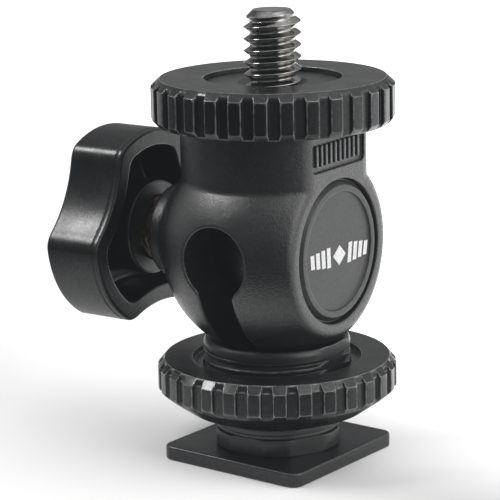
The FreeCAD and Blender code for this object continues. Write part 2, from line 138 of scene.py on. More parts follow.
# ---------------------------------------------------------------------------------------------
# Mesh helpers
# ---------------------------------------------------------------------------------------------
def mesh_object(name, points, faces):
    """A new object from points in millimetres."""
    mesh = bpy.data.meshes.new(name)
    mesh.from_pydata(np.asarray(points, float) * MM, [], faces)
    mesh.update()
    thing = bpy.data.objects.new(name, mesh)
    bpy.context.scene.collection.objects.link(thing)
    return thing


def shape_object(name, shape):
    """A new object from a bmesh, which is freed."""
    mesh = bpy.data.meshes.new(name)
    shape.to_mesh(mesh)
    shape.free()
    thing = bpy.data.objects.new(name, mesh)
    bpy.context.scene.collection.objects.link(thing)
    return thing


def vertex_points(mesh):
    points = np.zeros(len(mesh.vertices) * 3, np.float32)
    mesh.vertices.foreach_get("co", points)
    return points.reshape(-1, 3).astype(float)


def mark_worn_lit_edges(thing):
    """Store how sharply each vertex stands out, so that a material can polish the edges and paint a highlight
    along them.
    """
    mesh = thing.data
    points = vertex_points(mesh) / MM
    normals = np.zeros(len(mesh.vertices) * 3, np.float32)
    mesh.vertex_normals.foreach_get("vector", normals)
    normals = normals.reshape(-1, 3)
    edges = np.zeros(len(mesh.edges) * 2, np.int32)
    mesh.edges.foreach_get("vertices", edges)
    first, second = edges.reshape(-1, 2).T
    apart = points[second] - points[first]
    bend = ((normals[second] - normals[first]) * apart).sum(1) / ((apart ** 2).sum(1) + 1e-6)
    total = np.zeros(len(points))
    count = np.zeros(len(points))
    for end in (first, second):
        np.add.at(total, end, bend)
        np.add.at(count, end, 1)
    edge_wear_and_highlight = np.clip((total / np.maximum(count, 1) - 0.5) / 2.5, 0, 1)
    mesh.attributes.new("edge_wear_and_highlight", "FLOAT", "POINT").data.foreach_set("value", edge_wear_and_highlight)


def smooth_max(first, second, width):
    """The larger of two fields, with a round of about 0.85 of the width where they cross."""
    blend = np.maximum(width - np.abs(first - second), 0)
    return np.maximum(first, second) + blend * blend / (4 * width)


def smooth_min(first, second, width):
    return -smooth_max(-first, -second, width)


def cut_out(solid, tool, width):
    return smooth_max(solid, -tool, width)


def slope_at(field, points, reach=0.02):
    """The field and its gradient at a list of points."""
    slope = np.zeros_like(points)
    for axis in range(3):
        ahead, behind = points.copy(), points.copy()
        ahead[:, axis] += reach
        behind[:, axis] -= reach
        slope[:, axis] = (field(*ahead.T) - field(*behind.T)) / (2 * reach)
    return field(*points.T), slope


def settle(field, points, step, rounds):
    """Move points onto the surface where the field is zero."""
    for _ in range(rounds):
        value, slope = slope_at(field, points)
        length = np.maximum((slope ** 2).sum(1), 0.05)
        move = (value / length)[:, None] * slope
        points = points - np.clip(move, -step / 2, step / 2)
    return points


def grid_mesh(field, low, high, step):
    """Points and quads of the surface where field(x, y, z) is zero; it is negative inside."""
    low = np.array(low) - 2 * step
    high = np.array(high) + 2 * step
    axes = [np.arange(a, b, step, dtype=np.float32) for a, b in zip(low, high)]
    depth = np.ascontiguousarray(np.broadcast_to(
        field(axes[0][:, None, None], axes[1][None, :, None], axes[2][None, None, :]),
        [len(axis) for axis in axes]))
    inside = depth < 0
    size = np.array(inside.shape) - 1

    count = np.zeros(size, np.int8)
    for i in (0, 1):
        for j in (0, 1):
            for k in (0, 1):
                count += inside[i:size[0] + i, j:size[1] + j, k:size[2] + k]
    active = (count > 0) & (count < 8)
    cells = np.argwhere(active)
    number = np.full(size, -1, np.int64)
    number[active] = np.arange(len(cells))

    total = np.zeros((len(cells), 3))
    hits = np.zeros(len(cells))
    quads = []
    for axis in range(3):
        along, side, up = np.roll(np.eye(3, dtype=int), axis, axis=1)
        for a in (0, 1):
            for b in (0, 1):
                start = a * side + b * up
                near = depth[tuple((cells + start).T)]
                far = depth[tuple((cells + start + along).T)]
                crossed = (near < 0) != (far < 0)
                part = near[crossed] / (near[crossed] - far[crossed])
                total[crossed] += start + part[:, None] * along
                hits[crossed] += 1
        first = inside[tuple(slice(0, -1) if n == axis else slice(None) for n in range(3))]
        second = inside[tuple(slice(1, None) if n == axis else slice(None) for n in range(3))]
        edges = np.argwhere(first != second)
        outward = first[tuple(edges.T)]
        ring = [number[tuple((edges - back).T)] for back in (0 * side, side, side + up, up)]
        quads.append(np.stack(ring, 1)[outward])
        quads.append(np.stack(ring[::-1], 1)[~outward])
    points = low + step * (cells + total / hits[:, None])
    return points, np.concatenate(quads)


def surface(name, field, low, high, step, most=190000):
    """A fine mesh of a field's surface, thinned to at most that many triangles."""
    points, quads = grid_mesh(field, low, high, step)
    points = settle(field, points, step, 3)
    thing = mesh_object(name, points, quads.tolist())
    triangles = 2 * len(quads)
    if triangles > most:
        thin = thing.modifiers.new("thin", "DECIMATE")
        thin.ratio = most / triangles
        graph = bpy.context.evaluated_depsgraph_get()
        mesh = bpy.data.meshes.new_from_object(thing.evaluated_get(graph))
        thing.modifiers.clear()
        thing.data = mesh
    mesh = thing.data
    points = settle(field, vertex_points(mesh) / MM, step, 1)
    mesh.vertices.foreach_set("co", (points * MM).astype(np.float32).ravel())
    _, slope = slope_at(field, points)
    normals = slope / np.maximum(np.linalg.norm(slope, axis=1), 1e-6)[:, None]
    mesh.update()
    mark_worn_lit_edges(thing)
    mesh.shade_smooth()
    mesh.normals_split_custom_set_from_vertices(normals)
    return thing


def rounded(corners, closed=True, steps=4):
    """A profile of (radius, height) points from (radius, height, fillet) corners."""
    points = []
    count = len(corners)
    for index, (radius, height, fillet) in enumerate(corners):
        corner = np.array([radius, height])
        if fillet <= 0 or (not closed and index in (0, count - 1)):
            points.append(corner)
            continue
        before = np.array(corners[index - 1][:2]) - corner
        after = np.array(corners[(index + 1) % count][:2]) - corner
        before_long, after_long = np.linalg.norm(before), np.linalg.norm(after)
        before, after = before / before_long, after / after_long
        half = math.acos(max(-1.0, min(1.0, float(before @ after)))) / 2
        inset = min(fillet / math.tan(half), 0.49 * before_long, 0.49 * after_long)
        fillet = inset * math.tan(half)
        middle = corner + (before + after) / np.linalg.norm(before + after) * (
            fillet / math.sin(half))
        start, end = corner + before * inset - middle, corner + after * inset - middle
        sweep = math.pi - 2 * half
        for step in range(steps + 1):
            part = step / steps
            arm = (math.sin((1 - part) * sweep) * start + math.sin(part * sweep) * end)
            points.append(middle + arm / math.sin(sweep))
    return np.array(points)


def spun(name, corners, angles=None, limit=None, closed=True, rows=0.0, turn=None):
    """A profile turned about the vertical axis, or about another one that turn brings it to.

    angles are the columns; limit(angle, height) is the most radius there, for grooves and
    flats; rows divides straight runs of the profile into pieces about that long.
    """
    profile = rounded(corners, closed)
    if rows:
        fine = []
        last = len(profile) if closed else len(profile) - 1
        for index in range(last):
            start, end = profile[index], profile[(index + 1) % len(profile)]
            parts = max(1, int(np.linalg.norm(end - start) / rows))
            fine += [start + (end - start) * part / parts for part in range(parts)]
        profile = np.array(fine if closed else fine + [profile[-1]])
    if angles is None:
        angles = np.linspace(0, FULL_TURN, 144, endpoint=False)
    radius = np.repeat(profile[None, :, 0], len(angles), 0)
    height = np.repeat(profile[None, :, 1], len(angles), 0)
    if limit is not None:
        radius = np.minimum(radius, limit(angles[:, None], height))
    points = np.stack([radius * np.cos(angles)[:, None], radius * np.sin(angles)[:, None],
                       height], 2).reshape(-1, 3)
    across = len(profile)
    faces = []
    for column in range(len(angles)):
        after = (column + 1) % len(angles)
        for row in range(across if closed else across - 1):
            below = (row + 1) % across
            faces.append((column * across + row, after * across + row,
                          after * across + below, column * across + below))
    if turn is not None:
        points = points @ np.array(turn.to_matrix()).T
        points[:, 2] += BALL_Z
    thing = mesh_object(name, points, faces)
    tidy(thing)
    soften(thing)
    return thing


def tidy(thing):
    """Merge the points on the axis and turn every face outwards."""
    shape = bmesh.new()
    shape.from_mesh(thing.data)
    bmesh.ops.remove_doubles(shape, verts=shape.verts, dist=0.0005 * MM)
    bmesh.ops.dissolve_degenerate(shape, edges=shape.edges, dist=0.0002 * MM)
    bmesh.ops.recalc_face_normals(shape, faces=shape.faces)
    shape.to_mesh(thing.data)
    shape.free()


def soften(thing, angle=50):
    """Smooth shading that keeps sharp edges and lets the flat faces stay flat."""
    mark_worn_lit_edges(thing)
    thing.data.shade_smooth()
    thing.data.set_sharp_from_angle(angle=math.radians(angle))
    weigh = thing.modifiers.new("weighted normals", "WEIGHTED_NORMAL")
    weigh.keep_sharp = True
    weigh.weight = 80


THREAD_PROFILE = [               # (part of a pitch past a crest, share of the ridge's height)
    (-0.07, 0.86), (-0.03, 1.0), (0.03, 1.0), (0.07, 0.86), (0.22, 0.5),
    (0.36, 0.06), (0.42, 0.0), (0.58, 0.0), (0.64, 0.06), (0.78, 0.5)]


def threaded(name, crest, root, pitch, low, high, tip, tip_start, turn=None, columns=96):
    """A right-hand screw thread between two heights, with a cone at its upper end.

    crest, root and tip are radii; the cone starts at tip_start and ends at high.
    """
    per_pitch = len(THREAD_PROFILE)
    turns = int((high - low) / pitch) + 4
    rows = np.array([low + pitch * (lap - 2 + place)
                     for lap in range(turns) for place, _ in THREAD_PROFILE])
    reach = np.array([root + (crest - root) * share for _, share in THREAD_PROFILE] * turns)
    angles = np.linspace(0, FULL_TURN, columns, endpoint=False)
    height = rows[None, :] + pitch * angles[:, None] / FULL_TURN
    slope = (crest - tip) / (high - tip_start)
    radius = np.minimum(reach[None, :], tip + slope * (high - height))
    radius = np.maximum(radius, 0.2)
    points = np.stack([radius * np.cos(angles)[:, None], radius * np.sin(angles)[:, None],
                       height], 2).reshape(-1, 3)
    across = len(rows)
    faces = []
    for column in range(columns):
        after = (column + 1) % columns
        shift = per_pitch if after == 0 else 0
        for row in range(across - 1 - shift):
            faces.append((column * across + row, after * across + row + shift,
                          after * across + row + 1 + shift, column * across + row + 1))
    thing = mesh_object(name, points, faces)
    shape = bmesh.new()
    shape.from_mesh(thing.data)
    for level, side in ((low, -1), (high, 1)):
        everything = shape.verts[:] + shape.edges[:] + shape.faces[:]
        bmesh.ops.bisect_plane(shape, geom=everything, plane_co=(0, 0, level * MM),
                               plane_no=(0, 0, side), clear_outer=True)
    loose = [point for point in shape.verts if not point.link_faces]
    bmesh.ops.delete(shape, geom=loose, context="VERTS")
    rim = [edge for edge in shape.edges if edge.is_boundary]
    bmesh.ops.holes_fill(shape, edges=rim, sides=0)
    bmesh.ops.recalc_face_normals(shape, faces=shape.faces)
    if turn is not None:
        bmesh.ops.transform(shape, matrix=turn.to_matrix().to_4x4(), verts=shape.verts)
        bmesh.ops.translate(shape, vec=(0, 0, BALL_Z * MM), verts=shape.verts)
    shape.to_mesh(thing.data)
    shape.free()
    soften(thing, 70)
    return thing


# ---------------------------------------------------------------------------------------------
# Materials
# ---------------------------------------------------------------------------------------------
class Finish:
    """A node material being put together: a Principled shader and small helpers."""

    def __init__(self, name, colour, roughness, metallic=0.0, **sockets):
        self.material = bpy.data.materials.new(name)
        self.material.use_nodes = True
        self.tree = self.material.node_tree
        self.shader = self.tree.nodes["Principled BSDF"]
        self.shader.inputs["Base Color"].default_value = (*colour, 1)
        self.shader.inputs["Roughness"].default_value = roughness
        self.shader.inputs["Metallic"].default_value = metallic
        for socket, amount in sockets.items():
            self.shader.inputs[socket.replace("_", " ")].default_value = amount
        self.place = self.tree.nodes.new("ShaderNodeTexCoord").outputs["Object"]

    def node(self, kind, inputs=(), **settings):
        made = self.tree.nodes.new(kind)
        for key, setting in settings.items():
            setattr(made, key, setting)
        for socket, source in dict(inputs).items():
            if isinstance(source, bpy.types.NodeSocket):
                self.tree.links.new(source, made.inputs[socket])
            else:
                made.inputs[socket].default_value = source
        return made

    def noise(self, per_mm, detail=2.0, rough=0.5):
        texture = self.node("ShaderNodeTexNoise", {
            "Vector": self.place, "Scale": per_mm / MM, "Detail": detail, "Roughness": rough})
        return texture.outputs["Fac"]

    def ramp(self, source, low, high, from_low=0.0, from_high=1.0):
        """A value carried from one range to another, clamped."""
        made = self.node("ShaderNodeMapRange", {
            "Value": source, "From Min": from_low, "From Max": from_high,
            "To Min": low, "To Max": high})
        return made.outputs["Result"]

    def total(self, first, second, operation="ADD"):
        made = self.node("ShaderNodeMath", {0: first, 1: second}, operation=operation)
        return made.outputs[0]

    def blend(self, share, first, second):
        """A colour between two, by a share."""
        made = self.node("ShaderNodeMix", data_type="RGBA")
        colours = [socket for socket in made.inputs if socket.type == "RGBA"]
        self.tree.links.new(share, made.inputs[0])
        for socket, colour in zip(colours, (first, second)):
            if isinstance(colour, bpy.types.NodeSocket):
                self.tree.links.new(colour, socket)
            else:
                socket.default_value = (*colour, 1)
        return [socket for socket in made.outputs if socket.type == "RGBA"][0]

    def edge_wear_and_highlight(self):
        return self.node("ShaderNodeAttribute", attribute_name="edge_wear_and_highlight").outputs["Fac"]

    def bump(self, source, depth_mm, strength=1.0, before=None):
        inputs = {"Height": source, "Distance": depth_mm * MM, "Strength": strength}
        if before is not None:
            inputs["Normal"] = before
        return self.node("ShaderNodeBump", inputs).outputs["Normal"]

    def set(self, **sources):
        for socket, source in sources.items():
            self.tree.links.new(source, self.shader.inputs[socket.replace("_", " ")])
        return self.material


def moulded(name, dark, light, roughness, grain_mm, depth_mm, edge_roughness, rubbed_and_lit_edge,
            shine=0.5):
    """Moulded black plastic: fine grain, uneven gloss, and edges a little brighter, partly rubbed wear and partly
    a painted highlight.
    """
    finish = Finish(name, dark, roughness)
    cloud = finish.noise(0.35, 3)
    speck = finish.noise(1 / grain_mm, 3, 0.65)
    tone = finish.blend(finish.ramp(cloud, 0, 1, 0.3, 0.7), dark, light)
    patchy = finish.ramp(finish.noise(1.3, 3), 0.3, 1.0, 0.35, 0.6)
    # Edges paler where they stand out most: partly rubbed wear, partly a painted highlight along them.
    worn_and_lit = finish.total(finish.ramp(finish.edge_wear_and_highlight(), 0, 1, 0.35, 1.0), patchy, "MULTIPLY")
    tone = finish.blend(worn_and_lit, tone, rubbed_and_lit_edge)
    gloss = finish.total(finish.ramp(cloud, roughness - 0.04, roughness + 0.04, 0.3, 0.7),
                         finish.ramp(worn_and_lit, 0, edge_roughness - roughness), "ADD")
    shine = finish.ramp(speck, 0.85 * shine, 1.25 * shine, 0.42, 0.66)
    grain = finish.bump(speck, depth_mm)
    wave = finish.bump(finish.noise(0.5, 1), 0.006, 1.0, grain)
    return finish.set(Base_Color=tone, Roughness=gloss, Specular_IOR_Level=shine, Normal=wave)


def metal(name, dark, light, roughness, streak_mm, depth_mm):
    """Turned or plated metal: uneven tone and fine tool marks."""
    finish = Finish(name, dark, roughness, 1.0)
    cloud = finish.noise(0.8, 4, 0.6)
    mark = finish.noise(1 / streak_mm, 4, 0.7)
    tone = finish.blend(finish.ramp(cloud, 0, 1, 0.3, 0.7), dark, light)
    gloss = finish.ramp(mark, roughness - 0.08, roughness + 0.1, 0.3, 0.7)
    return finish.set(Base_Color=tone, Roughness=gloss, Normal=finish.bump(mark, depth_mm))


def grey(level, warm=0.0):
    """A neutral colour, with warm as its lean to the red side."""
    return (level * (1 + warm), level, level * (1 - warm))


def make_materials():
    """One material for each slot of the record."""
    return {
        # Each edge colour is partly rubbed wear and partly a painted highlight; the wheels' pale edges are mostly
        # painted highlight.
        "housing_plastic": moulded(
            "housing plastic", grey(0.006), grey(0.009), roughness=0.26, grain_mm=0.2,
            depth_mm=0.055, edge_roughness=0.18, rubbed_and_lit_edge=grey(0.05), shine=0.80),
        "foot_plastic": moulded(
            "foot plastic", grey(0.008), grey(0.011), roughness=0.34, grain_mm=0.2,
            depth_mm=0.03, edge_roughness=0.22, rubbed_and_lit_edge=grey(0.10)),
        "cap_plastic": moulded(
            "cap plastic", grey(0.026), grey(0.032), roughness=0.42, grain_mm=0.18,
            depth_mm=0.02, edge_roughness=0.34, rubbed_and_lit_edge=grey(0.09)),
        "wheel_plastic": moulded(
            "wheel plastic", grey(0.004), grey(0.007), roughness=0.26, grain_mm=0.3,
            depth_mm=0.003, edge_roughness=0.14, rubbed_and_lit_edge=grey(0.20)),
        "knob_plastic": moulded(
            "knob plastic", grey(0.004), grey(0.006), roughness=0.30, grain_mm=0.3,
            depth_mm=0.003, edge_roughness=0.16, rubbed_and_lit_edge=grey(0.05), shine=0.42),
        "seat_plastic": moulded(
            "seat plastic", grey(0.02), grey(0.03), roughness=0.45, grain_mm=0.2,
            depth_mm=0.006, edge_roughness=0.4, rubbed_and_lit_edge=grey(0.05)),
        "steel": metal(
            "zinc plated steel", grey(0.4), grey(0.5), roughness=0.32, streak_mm=0.15,
            depth_mm=0.004),
        "stud_steel": metal(
            "stud steel", grey(0.14, 0.03), grey(0.36, 0.03), roughness=0.10,
            streak_mm=0.12, depth_mm=0.002),
        "ball_steel": metal(
            "blackened ball", grey(0.05), grey(0.08), roughness=0.3, streak_mm=0.2,
            depth_mm=0.003),
        "black_metal": moulded(
            "blackened metal", grey(0.012), grey(0.02), roughness=0.34, grain_mm=0.18,
            depth_mm=0.006, edge_roughness=0.22, rubbed_and_lit_edge=grey(0.06)),
        "brass": metal(
            "turned brass", (0.16, 0.115, 0.065), (0.32, 0.23, 0.13), roughness=0.26,
            streak_mm=0.12, depth_mm=0.004),
    }


def make_ink():
    """White printing ink, slightly uneven where it lies on the grain."""
    finish = Finish("printing ink", grey(0.75), 0.5)
    speck = finish.noise(7, 3, 0.6)
    tone = finish.blend(finish.ramp(speck, 0, 1, 0.35, 0.65), grey(0.6), grey(0.85))
    return finish.set(Base_Color=tone, Normal=finish.bump(speck, 0.004))


# ---------------------------------------------------------------------------------------------
# Housing
# ---------------------------------------------------------------------------------------------
def round_box(u, v, half_u, half_v, corner):
    """Distance to a rectangle with round corners, in its own plane."""
    over_u, over_v = np.abs(u) - half_u + corner, np.abs(v) - half_v + corner
    outside = np.hypot(np.maximum(over_u, 0), np.maximum(over_v, 0))
    return outside + np.minimum(np.maximum(over_u, over_v), 0) - corner


def housing_field(x, y, z):
    """The ball-shaped body with its neck, boss, bores, keyhole slot and panel."""
    up = z - BALL_Z
    from_axis = np.hypot(y, up)
    dome = np.sqrt(x * x + y * y + up * up) - DOME_RADIUS
    neck = np.maximum(smooth_max(np.hypot(x, y) - NECK_RADIUS, z - HOUSING_TOP, 0.3), -up)
    solid = smooth_min(dome, neck, 0.2)
    boss = np.maximum(smooth_max(from_axis - BOSS_RADIUS, -BOSS_END - x, 0.45), x)
    solid = smooth_min(solid, boss, 0.9)
    solid = smooth_max(solid, x - SIDE_FLAT, 0.55)

    recess = np.maximum(from_axis - CAP_RECESS_RADIUS, CAP_RECESS_FLOOR - x)
    solid = cut_out(solid, recess, 0.22)
    solid = cut_out(solid, np.maximum(from_axis - CAVITY_RADIUS, -x), 0.1)
    solid = cut_out(solid, np.sqrt(x * x + y * y + up * up) - CAVITY_RADIUS, 0.1)
    bush_bore = np.maximum(np.maximum(from_axis - BUSH_BORE_RADIUS, x), -BUSH_BORE_END - x)
    solid = cut_out(solid, bush_bore, 0.1)
    solid = cut_out(solid, np.maximum(from_axis - BRAKE_BORE_RADIUS, x), 0.2)
    stud_bore = np.maximum(np.hypot(x, y) - STUD_BORE_RADIUS, STUD_POCKET_LOW - z)
    solid = cut_out(solid, stud_bore, 0.2)
    hexagon = np.maximum(np.abs(y), np.maximum(np.abs(0.866 * x + 0.5 * y),
                                               np.abs(0.866 * x - 0.5 * y))) - STUD_POCKET_FLAT
    pocket = np.maximum(np.maximum(hexagon, z - STUD_POCKET_TOP), STUD_POCKET_LOW - z)
    solid = cut_out(solid, pocket, 0.1)

    keyhole = np.maximum(np.hypot(x, up) - KEYHOLE_RADIUS, y)
    wedge = (y - SLOT_BACK + SLOT_LEAN * up) / math.hypot(1, SLOT_LEAN)
    slot = np.maximum(np.maximum(np.abs(x) - SLOT_HALF, up), wedge)
    solid = cut_out(solid, smooth_min(keyhole, slot, 0.5), 0.4)

    middle = (PANEL_LOW + PANEL_HIGH) / 2
    panel = np.maximum(round_box(y, z - middle, PANEL_HALF, PANEL_HIGH - middle, PANEL_CORNER),
                       SIDE_FLAT - PANEL_DEPTH - x)
    return cut_out(solid, panel, 0.14)


def bevelled_box(name, low, high, bevel):
    """A small block with rounded edges, in millimetres."""
    shape = bmesh.new()
    bmesh.ops.create_cube(shape, size=1)
    low, high = np.array(low) * MM, np.array(high) * MM
    for point in shape.verts:
        point.co = Vector((low + high) / 2 + np.array(point.co) * (high - low))
    bmesh.ops.bevel(shape, geom=shape.edges[:], offset=bevel * MM, segments=3, profile=0.5,
                    affect="EDGES")
    return shape_object(name, shape)


def joined(name, things):
    """Several mesh objects as one."""
    shape = bmesh.new()
    for thing in things:
        shape.from_mesh(thing.data)
        bpy.data.objects.remove(thing)
    return shape_object(name, shape)


def make_housing():
    shell = surface("housing_shell", housing_field, housing.low,
                    (SIDE_FLAT, DOME_RADIUS, HOUSING_TOP), step=0.145)
    put(shell, "housing", "housing_plastic", "housing")


def make_panel_ribs():
    """A row of plain upright ribs in the panel, in place of any lettering."""
    count, pitch, half_wide, inset, rise = 10, 0.9, 0.22, 0.55, 0.27
    floor = SIDE_FLAT - PANEL_DEPTH
    ribs = []
    for number in range(count):
        middle = (number - (count - 1) / 2) * pitch
        ribs.append(bevelled_box(
            "rib", (floor - 0.15, middle - half_wide, PANEL_LOW + inset),
            (floor + rise, middle + half_wide, PANEL_HIGH - inset), bevel=0.09))
    panel = joined("panel_ribs", ribs)
    soften(panel)
    put(panel, "housing", "housing_plastic")


# ---------------------------------------------------------------------------------------------
# Cap, with its printed mark
# ---------------------------------------------------------------------------------------------
TO_CAP = Matrix.Rotation(math.radians(90), 3, "Y").to_quaternion()
TO_KNOB = Matrix.Rotation(math.radians(-90), 3, "Y").to_quaternion()
CAP_FACE = 8.02


def make_cap():
    cap = Extent("cover_cap")
    corners = [
        (0, cap.low[0], 0), (7.78, cap.low[0], 0.05), (7.78, 7.65, 0.05), (7.62, 7.65, 0.05),
        (7.14, cap.high[0], 0.12), (6.49, cap.high[0], 0.14), (6.42, CAP_FACE, 0.12),
        (0, CAP_FACE, 0)]
    disc = spun("cover_cap_disc", corners, closed=False, turn=TO_CAP)
    put(disc, "housing", "cap_plastic", "cover_cap")


def flat_mark(name, outline, thickness):
    """A thin plate on the cap's face from a (y, z) outline about the ball's centre."""
    count = len(outline)
    points = [(CAP_FACE + rise, u, BALL_Z + v) for rise in (0, thickness) for u, v in outline]
    under, top = range(count), range(count, 2 * count)
    sides = [(here, (here + 1) % count, (here + 1) % count + count, here + count)
             for here in under]
    thing = mesh_object(name, points, [tuple(under), tuple(top)] + sides)
    tidy(thing)
    return thing


def make_cap_mark():
    """A generic mark: a diamond between two groups of slanted bars."""
    lean = math.radians(-2.3)
    half, bar, gap, slant, taper = 1.1, 0.72, 0.34, 0.105, 0.1
    diamond, first_bar, bars = 1.25, 1.75, 4
    centre = (0.3, -0.5)
    plates = []

    def plate(outline):
        turned = [(centre[0] + u * math.cos(lean) - v * math.sin(lean),
                   centre[1] + u * math.sin(lean) + v * math.cos(lean)) for u, v in outline]
        plates.append(flat_mark("mark", turned, 0.03))

    plate([(-diamond, 0), (0, -half), (diamond, 0), (0, half)])
    for side in (-1, 1):
        for number in range(bars):
            near = side * (first_bar + number * (bar + gap))
            far = near + side * bar
            shift = side * slant
            tall = half * (1 - taper * number)
            plate([(near - shift, -tall), (far - shift, -tall),
                   (far + shift, tall), (near + shift, tall)])
    mark = joined("cap_mark", plates)
    soften(mark)
    mark.data.materials.append(INK)
    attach(mark, "housing")


# ---------------------------------------------------------------------------------------------
# Stud
# ---------------------------------------------------------------------------------------------
def make_stud():
    stud = Extent("mounting_stud")
    thread = threaded("stud_thread", crest=3.1, root=2.42, pitch=1.27, low=STUD_POCKET_TOP - 0.1,
                      high=stud.high[2], tip=2.05, tip_start=48.4)
    put(thread, "housing", "stud_steel", "mounting_stud")
    head = spun("stud_head", [
        (0, stud.low[2], 0), (5.2, stud.low[2], 0.2), (5.2, STUD_POCKET_TOP, 0.2),
        (0, STUD_POCKET_TOP, 0)], closed=False, limit=hexagon_limit(4.5, 0))
    put(head, "housing", "stud_steel")


def hexagon_limit(flat, turn):
    """The radius of a hexagon at an angle, for spun(); flat is half its width across flats."""
    def limit(angle, height):
        within = np.mod(angle - turn, FULL_TURN / 6) - FULL_TURN / 12
        return flat / np.cos(within) + 0 * height
    return limit


# ---------------------------------------------------------------------------------------------
# Lock wheels
# ---------------------------------------------------------------------------------------------
GROOVES = 30
GROOVE_PITCH = FULL_TURN / GROOVES
GROOVE_STEPS = [                 # (distance from the groove's middle in mm, share of its depth)
    (0.0, 1.0), (0.25, 1.0), (0.46, 1.0), (0.51, 0.97), (0.55, 0.88), (0.59, 0.62),
    (0.62, 0.38), (0.66, 0.13), (0.70, 0.03), (0.76, 0.0), (0.95, 0.0), (1.2, 0.0)]


def groove_columns(radius, turn):
    """Angles of a wheel's columns, close together at the walls of its grooves."""
    angles = []
    for number in range(GROOVES):
        for place, _ in GROOVE_STEPS:
            for side in ((-1, 1) if place else (1,)):
                angles.append(turn + number * GROOVE_PITCH + side * place / radius)
        angles.append(turn + (number + 0.5) * GROOVE_PITCH)
    return np.sort(np.mod(angles, FULL_TURN))


def groove_limit(radius, turn, depth, notch_from=None, notch_depth=0.0):
    """The most radius at an angle and height; a notch deepens the grooves near the top face."""
    places, shares = np.array(GROOVE_STEPS).T

    def limit(angle, height):
        within = np.abs(np.mod(angle - turn + GROOVE_PITCH / 2, GROOVE_PITCH)
                        - GROOVE_PITCH / 2) * radius
        share = np.interp(within, places, shares)
        deep = depth + 0 * height
        if notch_from is not None:
            deep = depth + notch_depth * np.clip((height - notch_from) / 0.2, 0, 1)
        return np.where(share > 0, radius - share * deep, radius + 1)
    return limit


def make_top_wheel():
    wheel = Extent("top_lock_wheel")
    low, high = wheel.low[2], wheel.high[2]
    rim, recess, recess_floor, bore = 13.12, 7.43, 40.85, 5.55
    turn = math.radians(4.0)
    corners = [
        (bore, low, 0.1), (12.55, low, 0.25), (rim, 38.0, 0.25), (rim, 41.45, 0.12),
        (12.2, high, 0.12), (recess, high, 0.15), (recess, recess_floor, 0.12),
        (bore, recess_floor, 0.1)]
    disc = spun("top_wheel_disc", corners, groove_columns(rim, turn),
                groove_limit(rim, turn, depth=0.45), rows=0.3)
    put(disc, "top_wheel", "wheel_plastic", "top_lock_wheel")


def make_top_bush():
    bush = Extent("top_wheel_bush")
    low, high = bush.low[2], bush.high[2]
    bore, body, flange, flange_low = 3.15, 5.5, 7.38, 40.9
    ring = spun("top_bush_ring", [
        (bore, low, 0.1), (body, low, 0.1), (body, flange_low, 0.05), (flange, flange_low, 0.1),
        (flange, high, 0.15), (3.82, high, 0.1), (bore, 41.0, 0.05)])
    put(ring, "top_bush", "black_metal", "top_wheel_bush")


def make_lower_wheel():
    wheel = Extent("lower_lock_wheel")
    low, high = wheel.low[2], wheel.high[2]
    rim, recess, recess_floor = 13.17, 9.26, 10.65
    thread_bore, thread_end, bore, sleeve, cone_start = 8.17, 6.3, 6.02, 6.9, 5.65
    turn = math.radians(-1.3)
    corners = [
        (bore, low, 0.05), (sleeve, low, 0.1), (sleeve, cone_start, 0.1), (9.9, cone_start, 0.35),
        (12.3, 7.35, 0.25), (rim, 8.1, 0.2), (rim, 10.5, 0.12), (12.4, high, 0.12),
        (recess, high, 0.15), (recess, recess_floor, 0.12), (thread_bore, recess_floor, 0.12),
        (thread_bore, thread_end, 0.05), (bore, thread_end, 0.05)]
    disc = spun("lower_wheel_disc", corners, groove_columns(rim, turn),
                groove_limit(rim, turn, depth=0.42, notch_from=10.52, notch_depth=0.16), rows=0.3)
    put(disc, "lower_wheel", "wheel_plastic", "lower_lock_wheel")


def make_clamp_nut():
    """The six-sided collar, whose upper part is a round sleeve inside the two washers."""
    nut = Extent("clamp_nut")
    low, high = nut.low[2], nut.high[2]
    bore, corner, sleeve, collar_top = 5.06, 7.1, 6.0, 3.5
    hexagon = hexagon_limit(flat=6.75, turn=math.radians(-28 - 30))

    def nut_limit(angle, height):
        return np.where(height < collar_top + 0.1, hexagon(angle, height), corner)
    ring = spun("clamp_nut_ring", [
        (bore, low, 0.1), (corner, low, 0.15), (corner, collar_top, 0.15),
        (sleeve, collar_top, 0.02), (sleeve, high, 0.05), (bore, high, 0.1)], limit=nut_limit)
    put(ring, "lower_wheel", "black_metal", "clamp_nut")


def make_washers():
    bore = 6.06
    for node, outer in (("slip_washer", 6.85), ("spring_washer", 7.15)):
        washer = Extent(node)
        low, high = washer.low[2], washer.high[2]
        corners = [(bore, low, 0.08), (outer, low, 0.12), (outer, high, 0.12), (bore, high, 0.08)]
        put(spun(node + "_ring", corners), "clamp_washers", "black_metal", node)


